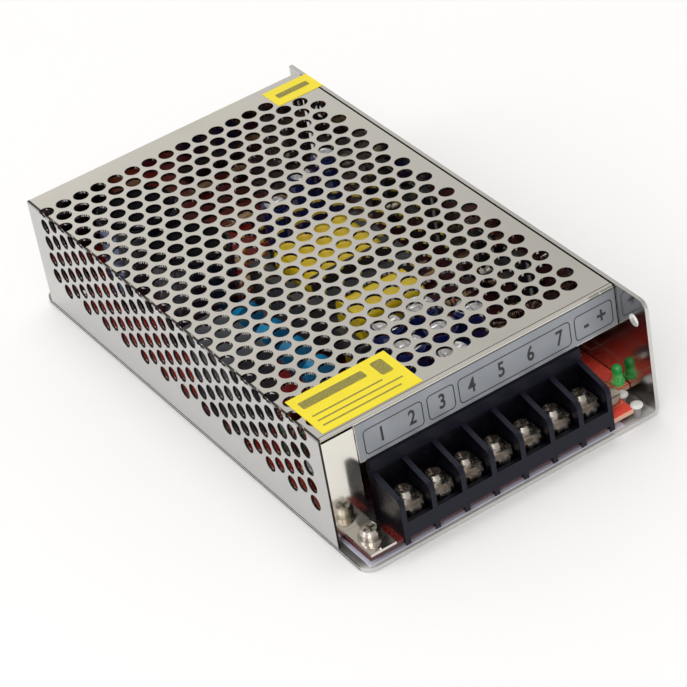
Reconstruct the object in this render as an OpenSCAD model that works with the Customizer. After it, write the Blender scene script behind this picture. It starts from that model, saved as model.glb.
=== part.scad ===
// Mesh case switching power supply, screw terminals at the front (-Y), case standing on its base.
// X runs along the terminal row, Y from the terminals to the rear, Z up from the underside.

/* [Case] */
// Width of the base plate
base_w = 98; // [92:1:120]
// Length of the base plate
base_l = 178; // [170:1:210]
// Height over the side wall and the cover
case_h = 38; // [37:0.5:46]
// Thickness of the chassis sheet
base_t = 1.2; // [1:0.1:1.6]
// Outer radius of the fold between base and side wall
fold_r = 2.4; // [1.8:0.1:3]
// Radius of the base plate's corners
corner_r = 4; // [2:0.5:8]
// Height of the low edge along the left side
edge_h = 6; // [4:0.5:9]
// Thickness of the cover sheet
cover_t = 0.8; // [0.6:0.1:1]
// Distance from the base's front edge to the cover's front
cover_front = 13.3; // [13.2:0.1:15]
// Distance from the cover's rear to the base's rear edge
cover_rear = 5.2; // [3:0.1:10]
// Depth of the cover's front lip, from the top
lip_h = 13.7; // [12.7:0.1:13.9]
// Width of the cover's front return flange at the left
flange_w = 10.7; // [9.5:0.1:10.7]

/* [Perforation] */
// Diameter of a hole
hole_d = 4.8; // [3:0.1:5]
// Distance between holes along a row
hole_pitch = 6; // [5.6:0.1:8]
// Distance between rows
row_pitch = 5.67; // [5.2:0.01:8]
// Plain band from the cover's front to the first row's centres
row_margin = 8.1; // [6:0.1:14]
// Plain band from the last row's centres to the cover's rear
rear_margin = 9.5; // [6:0.1:14]
// Plain band along the right of the top
right_margin = 5; // [5:0.1:12]
// Plain band at the foot of the left side, to the lowest centres
side_margin = 10; // [9:0.1:16]
// Distance from the fold to the first hole of every second row
fold_offset = 1.37; // [1:0.01:2]

/* [Terminals] */
// Distance between neighbouring terminals
terminal_pitch = 9.8; // [9.4:0.1:10]
// Thickness of the walls between terminals
wall_t = 1.6; // [1.2:0.1:2]
// Depth of the terminal block, front to back
block_d = 14.5; // [14:0.1:15]
// Gap between the top of the block's rear wall and the cover's lip
block_lip_gap = 0.4; // [0.2:0.1:1]
// Gap between the left return flange and the terminal block
block_gap = 2.6; // [1:0.1:3]
// Diameter of a terminal screw's head
screw_head_d = 5.8; // [5.4:0.1:6.4]
// Lift of a clamp when its screw is undone
clamp_lift = 3.5; // [2:0.1:4]

/* [Board] */
// Height of the spacers under the circuit board
standoff_h = 2; // [1.6:0.1:3]
// Thickness of the circuit board
board_t = 1.6; // [1.2:0.1:2]
// Thickness of the insulating sheet
sheet_t = 0.2; // [0.1:0.05:0.4]

/* [Fixings] */
// Diameter of the holes for mounting screws in the base
mount_hole_d = 3.2; // [3:0.1:4.5]
// Distance between mounting holes across the base
mount_w = 50; // [40:1:70]
// Distance between mounting holes along the base
mount_l = 150; // [120:1:155]
// Diameter of the holes near the ends of the side wall
side_hole_d = 4; // [3:0.1:5]
// Nominal diameter of the small screws
screw_d = 3; // [2.5:0.1:3.2]

/* [Components] */
// Diameter of the two large input capacitors
bulk_d = 25; // [18:0.5:26]
// Gap between the two large input capacitors and the cover above them
bulk_gap = 2.4; // [1:0.1:8]
// Diameter of an output capacitor
output_cap_d = 10; // [8:0.5:11]
// Height of an output capacitor
output_cap_h = 25; // [18:0.5:29]
// Diameter of the blue disc capacitors
disc_d = 10; // [7:0.5:11]
// Height of the main transformer's winding above the board
winding_h = 26.5; // [24:0.5:30]

/* [Hidden] */
$fn = 40;

e = 0.01;                 // overshoot of a cut
fit = 0.05;               // radial clearance of a screw in its thread
slip = 0.2;               // clearance of a shank in a plain hole
TERMINALS = 7;

// The case's own corner frame: x from the base's left edge, y from its front edge
x0 = -(base_w + cover_t) / 2 + cover_t;
y0 = -base_l / 2;
wall_x = base_w - base_t;                 // inner face of the side wall
sheet_z = base_t + sheet_t;               // top of the insulating sheet
board_z = base_t + standoff_h;            // underside of the board
top_z = board_z + board_t;                // face that the components stand on
cover_back = base_l - cover_rear;         // rear face of the cover
cover_gap = 0.6;                          // clearance between cover and side wall
cover_right = wall_x - cover_gap;         // outer face of the cover's right flange
foot_z = top_z + cover_t;                 // top of the cover's screwed foot
fold_x = -cover_t;                        // outer face of the cover's left side
lip_z = case_h - lip_h;                   // lower edge of the front lip
skirt_z = base_t + 0.1;                   // lower edge of the cover's side and rear

block_w = TERMINALS * terminal_pitch + wall_t;
block_x = fold_x + flange_w + block_gap;
block_top = lip_z - block_lip_gap;
bay_w = terminal_pitch - wall_t;
floor_z = top_z + 3.6;                    // floor of the bays
front_wall_z = top_z + 5;                 // top of the bays' low front wall
pedestal_z = top_z + 5.6;                 // seat of the contacts
contact_t = 0.8;
contact_z = pedestal_z + contact_t;
clamp_t = 1.2;
clamp_z = contact_z + clamp_t;            // seat of the screw heads
screw_y = 7.1;                            // terminal screws behind the block's front face
head_h = 2.5;
shank_h = 6.6;                            // shank below a terminal screw's head
rear_wall_t = 2;

// Cover, with the height of the packages under its right flange
package_h = 15;
package_z = top_z + 4;
lip_x = fold_x + flange_w + 0.4;
lip_right = wall_x - 0.2;                 // the lip ends just short of the side wall
foot_inset = base_t + 0.5;                // the foot stops short of the board's left edge
foot_front = 0.3;
flange_gap = 1.7;                         // between the right flange and the packages below it
flange_h = case_h - flange_gap - package_h - package_z;
flange_relief = 0.3;                      // slit between the lip and the right flange
side_h = case_h - cover_t - skirt_z;
top_w = cover_right - fold_x;
cover_l = cover_back - cover_front;
rows = floor((cover_l - row_margin - rear_margin) / row_pitch) + 1;

// Screws, spacers and holes
side_hole_ys = [5.8, cover_back - 12];
side_hole_z = case_h - 8.5;
mount_points = [for (x = [-mount_w / 2, mount_w / 2], y = [-mount_l / 2, mount_l / 2])
    [base_w / 2 + x, base_l / 2 + y]];
flange_screw_z = case_h - 6;
flange_head_d = 5.2;
flange_screw_ys = [cover_front + 32, cover_back - 32];
spacer_d = 5.6;
sheet_margin = 1.4;
sheet_front = 1.1;
foot_screw = [6, 6.8];
washer_t = 0.6;
washer_d = 7.2;
board_screw_points = [[7, base_l - 14], [base_w - 8, base_l - 14], [40, 22], [base_w - 12, 18.5]];
post_d = 3.6;                             // heads of the two nylon pins at the cut-out corner
post_shank_d = 2.2;

// Board: it reaches further forward under the terminals, and its front right corner is cut out
board_x = base_t + 0.4;
board_front = 0.8;
board_right = wall_x - 0.25;
board_back = cover_back - cover_t - 1.6;
strip_front = 1.7;
corner_x = base_w - 7.4;
corner_y = 11.2;
post_points = [for (y = [8.5, 1.9]) [corner_x + post_shank_d / 2 + 0.15, y]];

// Solder tails of the contacts
pin_w = 1.2;
pin_y = 11;

// Packages clamped to the side wall
package_w = 10;
package_t = 4.4;
pad_t = 0.25;
bar_t = 1.2;
transistor_z = package_z + package_h / 2;
clamp_ys = [70, 118];
package_offset = 9;

function terminal_x(i) = block_x + wall_t / 2 + (i - 0.5) * terminal_pitch;

module corner_frame() {
    translate([x0, y0, 0]) children();
}

// A box with its lower corner at p
module block(p, size) {
    translate(p) cube(size);
}

// Quarter round that is cut from a corner; the corner sits at the origin and the round lies at +x +y
module corner_cut(r, h) {
    difference() {
        translate([-1, -1, 0]) cube([r + 1, r + 1, h]);
        translate([r, r, -e]) cylinder(r = r, h = h + 2 * e);
    }
}

// Cross recess for a screwdriver, cut downwards from z = 0
module cross_recess(w, d) {
    for (a = [0, 90]) rotate([0, 0, a]) translate([-w / 2, -w / 8, -d]) cube([w, w / 4, d + 1]);
}

// Pan head screw, seat at z = 0, shank downwards
module pan_screw(d, head_d, head, shank, recess = 0.6) {
    difference() {
        union() {
            translate([0, 0, -shank]) cylinder(d = d, h = shank + e);
            cylinder(d = head_d, h = head * 0.55);
            translate([0, 0, head * 0.55 - e])
                cylinder(d1 = head_d, d2 = head_d * 0.72, h = head * 0.45 + e);
        }
        translate([0, 0, head]) cross_recess(head_d * recess, head * 0.6);
    }
}

// Radial can standing on the board, with a rolled groove near its foot
module can(d, h, groove = 0.4) {
    difference() {
        union() {
            cylinder(d = d - 1, h = h);
            translate([0, 0, 0.5]) cylinder(d = d, h = h - 1);
        }
        translate([0, 0, 3]) difference() {
            cylinder(d = d + 2, h = 1.2);
            translate([0, 0, -e]) cylinder(d = d - 2 * groove, h = 1.2 + 2 * e);
        }
    }
}

/* ---- case ---- */

// Folded sheet: base plate, full side wall at the right, low edge at the left
module chassis() color("gainsboro") corner_frame() difference() {
    union() {
        block([fold_x, 0, 0], [base_w - fold_r - fold_x, base_l, base_t]);
        block([wall_x, 0, fold_r], [base_t, base_l, case_h - fold_r]);
        translate([base_w - fold_r, 0, fold_r]) rotate([-90, 0, 0]) difference() {
            intersection() {
                cylinder(r = fold_r, h = base_l);
                translate([0, 0, -e]) cube([fold_r, fold_r, base_l + 2 * e]);
            }
            translate([0, 0, -1]) cylinder(r = fold_r - base_t, h = base_l + 2);
        }
        block([0, cover_front + 2, base_t - e], [base_t, cover_back - cover_front - 4, edge_h - base_t + e]);
    }
    translate([fold_x, 0, -1]) corner_cut(corner_r, base_t + 2);
    translate([fold_x, base_l, -1]) rotate([0, 0, -90]) corner_cut(corner_r, base_t + 2);
    translate([wall_x - 1, 0, case_h]) rotate([0, 90, 0]) corner_cut(3, base_t + 2);
    for (p = mount_points) translate([p[0], p[1], -1]) cylinder(d = mount_hole_d, h = base_t + 2);
    for (y = side_hole_ys)
        translate([wall_x - 1, y, side_hole_z]) rotate([0, 90, 0]) cylinder(d = side_hole_d, h = base_t + 2);
    for (p = concat([foot_screw], board_screw_points))
        translate([p[0], p[1], -1]) cylinder(d = screw_d + 2 * fit, h = base_t + 2);
    for (y = flange_screw_ys) translate([wall_x, y, flange_screw_z]) rotate([0, 90, 0]) {
        translate([0, 0, -1]) cylinder(d = screw_d + 2 * fit, h = base_t + 2);
        cylinder(d1 = screw_d + 2 * fit, d2 = flange_head_d + 2 * fit, h = base_t + e);
    }
    for (y = clamp_ys) translate([wall_x - 1, y, transistor_z])
        rotate([0, 90, 0]) cylinder(d = screw_d + 2 * fit, h = base_t + 2);
}

// Plastic film between the base and the board, cut out round the spacers
module insulating_sheet() color("lavender") corner_frame() difference() {
    block([sheet_margin, sheet_front, base_t], [base_w - 11.4 - sheet_margin, base_l - 6 - sheet_front, sheet_t]);
    for (p = concat([foot_screw], board_screw_points))
        translate([p[0], p[1], 0]) cylinder(d = spacer_d + 1, h = base_t + sheet_t + 1);
    for (p = mount_points) translate([p[0], p[1], 0]) cylinder(d = mount_hole_d + 2, h = base_t + sheet_t + 1);
}

module board_standoffs() color("silver") corner_frame()
    for (p = concat([foot_screw], board_screw_points))
        translate([p[0], p[1], base_t]) difference() {
            cylinder(d = spacer_d, h = standoff_h);
            translate([0, 0, -1]) cylinder(d = screw_d + 2 * slip, h = standoff_h + 2);
        }

// Printed board with its front right corner cut out
module circuit_board() color("firebrick") corner_frame() difference() {
    block([board_x, board_front, board_z], [board_right - board_x, board_back - board_front, board_t]);
    block([block_x + block_w, 0, board_z - 1], [base_w, strip_front, board_t + 2]);
    block([corner_x, 0, board_z - 1], [base_w, corner_y, board_t + 2]);
    for (p = concat([foot_screw], board_screw_points))
        translate([p[0], p[1], board_z - 1]) cylinder(d = screw_d + 2 * slip, h = board_t + 2);
    for (i = [1:TERMINALS])
        block([terminal_x(i) - pin_w / 2 - slip, pin_y - slip, board_z - 1],
            [pin_w + 2 * slip, contact_t + 2 * slip, board_t + 2]);
}

// Folded sheet: perforated top and left side, plain rear, front lip, return flange with a foot
function row_y(i) = row_margin + i * row_pitch;
function row_shift(i) = fold_offset + (i % 2 == 0 ? hole_pitch / 2 : 0);

// Flat pattern of the holes: u runs across the top from the fold, and below the fold it is negative
module hole_rows(u_min, u_max) {
    for (i = [0:rows - 1]) {
        first = ceil((u_min - row_shift(i)) / hole_pitch);
        last = floor((u_max - row_shift(i)) / hole_pitch);
        for (k = [first:last]) translate([row_shift(i) + k * hole_pitch, row_y(i)]) circle(d = hole_d);
    }
}

module cover_top() {
    translate([fold_x, cover_front, case_h - cover_t]) linear_extrude(cover_t) difference() {
        square([top_w, cover_l]);
        hole_rows(-hole_d / 2, top_w - right_margin);
    }
}

module cover_side() {
    translate([fold_x, cover_front, case_h]) rotate([0, 90, 0]) linear_extrude(cover_t) difference() {
        translate([cover_t - e, 0]) square([side_h + e, cover_l]);
        mirror([1, 0]) hole_rows(side_margin - case_h, hole_d / 2);
    }
}

module mesh_cover() color("gainsboro") corner_frame() difference() {
    union() {
        cover_top();
        cover_side();
        block([lip_x, cover_front, lip_z], [lip_right - lip_x, cover_t, lip_h - cover_t + e]);
        block([fold_x, cover_front, top_z], [flange_w, cover_t, case_h - 2 * cover_t - top_z]);
        block([fold_x + cover_t + foot_inset, foot_front, top_z],
            [flange_w - cover_t - foot_inset, cover_front + cover_t - foot_front, cover_t]);
        block([fold_x, cover_back - cover_t, skirt_z], [top_w, cover_t, side_h + e]);
        block([cover_right - cover_t, cover_front + cover_t + flange_relief, case_h - flange_h],
            [cover_t, cover_l - cover_t - flange_relief - 3, flange_h - cover_t + e]);
    }
    translate([foot_screw[0], foot_screw[1], top_z - 1]) cylinder(d = screw_d + 2 * slip, h = cover_t + 2);
    for (y = flange_screw_ys) translate([cover_right - cover_t - 1, y, flange_screw_z])
        rotate([0, 90, 0]) cylinder(d = screw_d + 2 * fit, h = cover_t + 2);
    translate([cover_right - cover_t - 1, side_hole_ys[1], side_hole_z])
        rotate([0, 90, 0]) cylinder(d = side_hole_d + 1, h = cover_t + 2);
}

module cover_screws() color("silver") corner_frame() {
    translate([foot_screw[0], foot_screw[1], foot_z + washer_t])
        pan_screw(screw_d, 5.8, 2.4, foot_z + washer_t - base_t + 1);
    for (y = flange_screw_ys) translate([base_w, y, flange_screw_z]) rotate([0, 90, 0]) difference() {
        union() {
            translate([0, 0, -base_t]) cylinder(d1 = screw_d, d2 = flange_head_d, h = base_t);
            translate([0, 0, -4]) cylinder(d = screw_d, h = 4 - base_t + e);
        }
        cross_recess(flange_head_d * 0.7, 1);
    }
}

module foot_washer() color("silver") corner_frame()
    translate([foot_screw[0], foot_screw[1], foot_z]) difference() {
        cylinder(d = washer_d, h = washer_t);
        translate([0, 0, -1]) cylinder(d = screw_d + 2 * slip, h = washer_t + 2);
    }

module board_screws() color("silver") corner_frame()
    for (p = board_screw_points) translate([p[0], p[1], top_z])
        pan_screw(screw_d, 5.5, 2.2, top_z - base_t + 1);

// Two white nylon pins in the cut-out corner of the board, their heads over its edge
module nylon_posts() color("white") corner_frame()
    for (p = post_points) translate([p[0], p[1], 0]) {
        translate([0, 0, base_t]) cylinder(d = post_shank_d, h = top_z - base_t + 0.3);
        translate([0, 0, top_z + 0.1]) cylinder(d = post_d, h = 0.4);
        translate([0, 0, top_z + 0.5 - e]) cylinder(d1 = post_d, d2 = post_d - 1.4, h = 0.4 + e);
    }

/* ---- terminals ---- */

// Section of the walls between the terminals: sloped top, chamfered front
module partition() {
    rotate([90, 0, 90]) linear_extrude(wall_t) polygon([
        [0, top_z], [0, top_z + 10.6], [0.5, top_z + 11.8], [1.6, top_z + 12.6],
        [block_d - rear_wall_t, block_top - 4], [block_d, block_top - 4], [block_d, top_z]]);
}

module terminal_block() color("#1b1c22") corner_frame() difference() {
    union() {
        block([block_x, 0, top_z], [block_w, block_d, floor_z - top_z]);
        block([block_x, 0, top_z], [block_w, front_wall_y, front_wall_z - top_z]);
        block([block_x, block_d - rear_wall_t, top_z], [block_w, rear_wall_t, block_top - top_z]);
        for (i = [0:TERMINALS]) {
            translate([block_x + i * terminal_pitch, 0, 0]) partition();
            block([block_x + i * terminal_pitch, 0, board_z - 0.5],
                [wall_t, board_front - slip, board_t + 0.5 + e]);
        }
        block([block_x, 0, top_z - 0.1], [block_w, board_front - slip, 0.1 + e]);
        for (i = [1:TERMINALS])
            block([terminal_x(i) - pedestal_w / 2, plate_y, floor_z - e],
                [pedestal_w, block_d - rear_wall_t - plate_y + e, pedestal_z - floor_z + e]);
    }
    for (i = [1:TERMINALS]) {
        translate([terminal_x(i), screw_y, top_z + 0.5]) cylinder(d = screw_d + 0.6, h = pedestal_z);
        block([terminal_x(i) - pin_w / 2 - slip, pin_y - slip, top_z - 1],
            [pin_w + 2 * slip, contact_t + 2 * slip, pedestal_z]);
    }
}
front_wall_y = 1.4;
pedestal_w = 6.8;
plate_y = 2.7;

// Tapped plate with a tongue bent down at its front and a solder tail through the board
module terminal_contacts() color("silver") corner_frame() for (i = [1:TERMINALS])
    translate([terminal_x(i), 0, 0]) difference() {
        union() {
            block([-pedestal_w / 2, plate_y, pedestal_z],
                [pedestal_w, block_d - rear_wall_t - plate_y - slip, contact_t]);
            block([-1.8, plate_y - contact_t, floor_z + slip], [3.6, contact_t, contact_z - floor_z - slip]);
            block([-1.8, plate_y - e, pedestal_z], [3.6, 2 * e, contact_t]);
            block([-pin_w / 2, pin_y, board_z - 1], [pin_w, contact_t, pedestal_z - board_z + 1 + e]);
        }
        translate([0, screw_y, pedestal_z - 1]) cylinder(d = screw_d + 2 * fit, h = contact_t + 2);
    }

// Square washer that presses on the wire, with its side edges turned up
module terminal_clamp(i) color("silver") corner_frame()
    translate([terminal_x(i), screw_y, contact_z]) difference() {
        union() {
            block([-clamp_w / 2, -clamp_w / 2, 0], [clamp_w, clamp_w, clamp_t]);
            for (s = [-1, 1]) block([s * (clamp_w / 2 - 0.25) - 0.25, -clamp_w / 2, clamp_t - e],
                [0.5, clamp_w, 0.6]);
        }
        translate([0, 0, -1]) cylinder(d = screw_d + 2 * slip, h = clamp_t + 2);
    }
clamp_w = 7.2;

module terminal_screw(i) color("silver") corner_frame()
    translate([terminal_x(i), screw_y, clamp_z]) pan_screw(screw_d, screw_head_d, head_h, shank_h, 0.66);

/* ---- front right: trimmer and lamp ---- */

trimmer_x = block_x + block_w + 3.9;
trimmer_y = 6;
trimmer_t = 3.6;
rotor_d = 5;
rotor_z = top_z + 3.9;
rotor_depth = 1.6;                        // depth of the rotor's seat in the body
rotor_proud = 0.9;
trimmer_w = rotor_d + 0.9;
module trimmer_body() color("peru") corner_frame() difference() {
    union() {
        block([trimmer_x - trimmer_w / 2, trimmer_y, top_z], [trimmer_w, trimmer_t, rotor_z - top_z]);
        translate([trimmer_x, trimmer_y + trimmer_t, rotor_z])
            rotate([90, 0, 0]) cylinder(d = trimmer_w, h = trimmer_t);
    }
    translate([trimmer_x, trimmer_y + rotor_depth, rotor_z])
        rotate([90, 0, 0]) cylinder(d = rotor_d + 2 * fit, h = rotor_depth + 1);
}

module trimmer_rotor() color("ivory") corner_frame()
    translate([trimmer_x, trimmer_y + rotor_depth, rotor_z]) rotate([90, 0, 0]) difference() {
        cylinder(d = rotor_d, h = rotor_depth + rotor_proud);
        translate([-rotor_d, -0.4, rotor_depth + rotor_proud - 0.7]) cube([2 * rotor_d, 0.8, 1]);
    }

led_point = [base_w - 3.4, 13.5];
led_d = 3;
led_h = 6.5;
module status_led() color("limegreen") corner_frame()
    translate([led_point[0], led_point[1], top_z]) {
        cylinder(d = led_d + 0.8, h = 1);
        cylinder(d = led_d, h = led_h - led_d / 2);
        translate([0, 0, led_h - led_d / 2]) sphere(d = led_d);
    }

/* ---- labels ---- */

film_t = 0.15;
module terminal_label() color("lightsteelblue") corner_frame()
    block([lip_x + 0.2, cover_front - film_t, lip_z + 0.3], [lip_right - lip_x - 0.4, film_t, lip_h - 1.7]);

module yellow_labels() color("yellow") corner_frame() {
    block([2, cover_front + 1.6, case_h], [32, 18.6, film_t]);
    block([base_w - 16.3, cover_back - 12.5, case_h], [16.2, 9.6, film_t]);
}

/* ---- windings ---- */

// Cube with the edges along y rounded, centred on x, from z = 0
module wound_block(w, l, h, r) {
    translate([0, l / 2, 0]) rotate([90, 0, 0]) linear_extrude(l) {
        translate([-w / 2 + r, 0]) square([w - 2 * r, h]);
        translate([-w / 2, r]) square([w, h - 2 * r]);
        for (x = [-w / 2 + r, w / 2 - r], z = [r, h - r]) translate([x, z]) circle(r = r);
    }
}

// Ferrite core of two E halves, its middle leg along y; z = 0 is mid height
module ee_core(l, w, h, leg, middle) {
    translate([0, 0, -h / 2]) linear_extrude(h) difference() {
        square([w, l], center = true);
        for (s = [-1, 1]) translate([s * (w / 4 - leg / 2 + middle / 4), 0])
            square([w / 2 - leg - middle / 2, l - 2 * leg], center = true);
    }
}

transformer_point = [56, 95];
transformer_l = 33;
transformer_w = 38;
transformer_leg = 5;
transformer_middle = 10;
transformer_core_h = 14;
transformer_core_z = top_z + winding_h / 2 + 1;
cheek_t = 0.8;                            // bobbin's end walls
window_l = transformer_l - 2 * transformer_leg;
window_w = transformer_w - 2 * transformer_leg;
rail_h = transformer_core_z - transformer_core_h / 2 - top_z;

module at_transformer() {
    translate([transformer_point[0], transformer_point[1], 0]) children();
}

module transformer_core() color("#2c2c30") corner_frame() at_transformer()
    translate([0, 0, transformer_core_z])
        ee_core(transformer_l, transformer_w, transformer_core_h, transformer_leg, transformer_middle);

// Bobbin: square tube on the middle leg, two end walls, and pin rails under the core
module transformer_bobbin() color("#18181a") corner_frame() at_transformer() difference() {
    union() {
        for (s = [-1, 1]) {
            block([-window_w / 2 + slip, s * (window_l / 2 - slip - cheek_t / 2) - cheek_t / 2, top_z + 1],
                [window_w - 2 * slip, cheek_t, winding_h]);
            block([-window_w / 2 + slip, s * (window_l / 2 - slip - cheek_t + rail_l / 2) - rail_l / 2, top_z],
                [window_w - 2 * slip, rail_l, rail_h]);
        }
        block([-tube_w / 2, -window_l / 2 + slip, transformer_core_z - tube_h / 2],
            [tube_w, window_l - 2 * slip, tube_h]);
    }
    block([-tube_w / 2 + cheek_t, -transformer_l, transformer_core_z - tube_h / 2 + cheek_t],
        [tube_w - 2 * cheek_t, 2 * transformer_l, tube_h - 2 * cheek_t]);
}
tube_w = transformer_middle + 2 * (cheek_t + slip);
tube_h = transformer_core_h + 2 * (cheek_t + slip);
rail_l = transformer_leg + slip + 2 * cheek_t;

module transformer_winding() color("gold") corner_frame() at_transformer() difference() {
    translate([0, 0, top_z + 2]) wound_block(window_w - 1.6, window_l - 2 * (slip + cheek_t), winding_h - 1.4, 4);
    block([-tube_w / 2, -window_l, transformer_core_z - tube_h / 2], [tube_w, 2 * window_l, tube_h]);
}

// Small drive transformer in front of the main one, its axis along x
driver_point = [55, 68.7];
driver_l = 28;
driver_w = 18.6;
driver_leg = 2.6;
driver_middle = 4.6;
driver_core_h = 7;
driver_h = 24;
driver_core_z = top_z + 12.5;
module at_driver() {
    translate([driver_point[0], driver_point[1], 0]) rotate([0, 0, 90]) children();
}

module driver_core() color("#2c2c30") corner_frame() at_driver() translate([0, 0, driver_core_z])
    ee_core(driver_l, driver_w, driver_core_h, driver_leg, driver_middle);

module driver_winding() color("gold") corner_frame() at_driver() difference() {
    translate([0, 0, top_z])
        wound_block(driver_w - 2 * driver_leg - 0.6, driver_l - 2 * driver_leg - 0.6, driver_h, 2.5);
    block([-driver_middle / 2 - slip, -driver_l, driver_core_z - driver_core_h / 2 - slip],
        [driver_middle + 2 * slip, 2 * driver_l, driver_core_h + 2 * slip]);
}

// Ring core lying on the board, and the ribbed outline of the wire wound on it
module ring(d, bore, h) {
    difference() {
        cylinder(d = d, h = h);
        translate([0, 0, -1]) cylinder(d = bore, h = h + 2);
    }
}

module ring_winding(d, bore, h, wire, turns, arcs) {
    linear_extrude(h) difference() {
        union() {
            difference() {
                circle(d = d + 2 * wire);
                circle(d = bore - 2 * wire);
            }
            for (i = [0:turns - 1]) rotate([0, 0, i * 360 / turns])
                translate([d / 2 + wire * 0.7, 0]) circle(d = wire * 1.6);
        }
        for (a = arcs) rotate([0, 0, a]) translate([0, -d / 10]) square([d, d / 5]);
    }
}

module wound_ring(point, d, bore, h, wire, turns, arcs) {
    translate([point[0], point[1], top_z]) difference() {
        ring_winding(d, bore, h + 2 * wire, wire, turns, arcs);
        translate([0, 0, wire]) ring(d, bore, h);
    }
}

line_choke_point = [17, 53];
line_choke_d = 17;
line_choke_bore = 9;
line_choke_h = 9;
line_wire = 1;
module line_choke_core() color("#3a4a3a") corner_frame()
    translate([line_choke_point[0], line_choke_point[1], top_z + line_wire])
        ring(line_choke_d, line_choke_bore, line_choke_h);
module line_choke_winding() color("#a2482a") corner_frame()
    wound_ring(line_choke_point, line_choke_d, line_choke_bore, line_choke_h, line_wire, 24, [90, 270]);

output_x = base_w - 13.2;                 // the output parts stand beside and left of this line
output_choke_point = [output_x, 42];
output_choke_d = 18;
output_choke_bore = 9;
output_choke_h = 11;
output_wire = 1.2;
module output_choke_core() color("khaki") corner_frame()
    translate([output_choke_point[0], output_choke_point[1], top_z + output_wire])
        ring(output_choke_d, output_choke_bore, output_choke_h);
module output_choke_winding() color("#8c4326") corner_frame()
    wound_ring(output_choke_point, output_choke_d, output_choke_bore, output_choke_h, output_wire, 22, [200]);

/* ---- parts on the board ---- */

bulk_h = case_h - cover_t - bulk_gap - top_z;
bulk_points = [[24, base_l - 57], [23, base_l - 29]];
module bulk_capacitor(i) color("#20222c") corner_frame()
    translate([bulk_points[i - 1][0], bulk_points[i - 1][1], top_z]) can(bulk_d, bulk_h, 0.8);

output_cap_points = [[output_x - 37.8, 53], [output_x - 26.3, 53.8], [output_x - 38.8, 41],
    [output_x - 27.3, 42], [output_x - 16.3, 43], [output_x - 31.8, 29.5]];
module output_capacitor(i) color("#20306e") corner_frame()
    translate([output_cap_points[i - 1][0], output_cap_points[i - 1][1], top_z])
        can(output_cap_d, output_cap_h);

rear_face = transformer_point[1] + transformer_l / 2;
chip_point = [61, base_l - 28];
chip_l = 19.3;
chip_w = 6.4;

// The third stands half way between the transformer and the control chip
aux_cap_points = [[72, base_l - 42], [83, base_l - 38],
    [58, (rear_face + chip_point[1] - chip_w / 2) / 2]];
module aux_capacitors() color("#20306e") corner_frame() for (p = aux_cap_points)
    translate([p[0], p[1], top_z]) can(8, 24, 0.3);

// Disc capacitors stand on their two leads
disc_points = [[30.8, base_l - 71.5], [31.5, base_l - 85], [31.5, 81], [31.5, 68.5], [output_x - 9.8, 54]];
disc_t = 3.6;
disc_lift = 3;
module disc_capacitors() color("deepskyblue") corner_frame() for (p = disc_points)
    translate([p[0], p[1], top_z]) {
        translate([0, disc_t / 2, disc_lift + disc_d / 2]) rotate([90, 0, 0]) cylinder(d = disc_d, h = disc_t);
        for (x = [-2.5, 2.5]) translate([x, 0, 0]) cylinder(d = 0.8, h = disc_lift + 2);
    }

module x_capacitor() color("slategray") corner_frame()
    block([4.2, 66, top_z], [12.6, 26.5, 26]);

bridge_point = [output_x - 65.3, 36];
module bridge_rectifier() color("#222226") corner_frame() {
    block([bridge_point[0], bridge_point[1], top_z + 3], [20, 4, 15]);
    for (i = [0:3]) block([bridge_point[0] + 2 + i * 5, bridge_point[1] + 1.6, top_z], [1, 0.8, 3 + e]);
}

thermistor_point = [22, 30];
module thermistor() color("darkolivegreen") corner_frame()
    translate([thermistor_point[0], thermistor_point[1], top_z]) {
        translate([0, 2, 7.5]) rotate([90, 0, 0]) cylinder(d = 11, h = 4);
        for (x = [-3.5, 3.5]) translate([x, 0, 0]) cylinder(d = 0.9, h = 5);
    }

// Glass fuse in two spring clips
fuse_point = [9, 30.5];
fuse_l = 20;
fuse_d = 5;
fuse_z = top_z + 4;
clip_w = 5;
module fuse() color("silver") corner_frame() translate([fuse_point[0], fuse_point[1], fuse_z])
    rotate([90, 0, 0]) {
        translate([0, 0, -fuse_l / 2]) cylinder(d = fuse_d - 0.3, h = fuse_l);
        for (s = [-1, 1]) translate([0, 0, s * (fuse_l / 2 - 2.5) - 2.5]) cylinder(d = fuse_d, h = 5);
    }

module fuse_clips() color("gold") corner_frame() for (s = [-1, 1])
    translate([fuse_point[0], fuse_point[1] + s * (fuse_l / 2 - 2.5) + clip_w / 2 - 0.5, 0]) difference() {
        block([-fuse_d / 2 - 0.6, -clip_w + 1, top_z], [fuse_d + 1.2, clip_w - 1, 4.8]);
        translate([0, 1, fuse_z]) rotate([90, 0, 0]) cylinder(d = fuse_d + 2 * fit, h = clip_w + 2);
        block([-fuse_d / 2 + 0.4, -clip_w, fuse_z], [fuse_d - 0.8, clip_w + 1, 2]);
    }

// Power packages on the side wall: insulating pad, package, steel bar and screw
package_back = wall_x - pad_t;
module power_transistors() color("#1d1d20") corner_frame()
    for (c = clamp_ys, s = [-1, 1]) translate([package_back - package_t, c + s * package_offset, 0]) {
        block([0, -package_w / 2, package_z], [package_t, package_w, package_h]);
        for (k = [-1, 0, 1]) block([package_t / 2 - 0.3, k * 2.54 - 0.5, top_z], [0.6, 1, package_z - top_z + e]);
    }

module transistor_pads() color("lightgray") corner_frame()
    for (c = clamp_ys, s = [-1, 1])
        block([package_back, c + s * package_offset - package_w / 2 - 1, package_z - 1],
            [pad_t, package_w + 2, package_h + 1.4]);

module clamp_bars() color("silver") corner_frame() for (c = clamp_ys) difference() {
    block([package_back - package_t - bar_t, c - package_offset - package_w / 2, transistor_z - 3],
        [bar_t, 2 * package_offset + package_w, 6]);
    translate([package_back - package_t - bar_t - 1, c, transistor_z])
        rotate([0, 90, 0]) cylinder(d = screw_d + 2 * slip, h = bar_t + 2);
}

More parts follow.
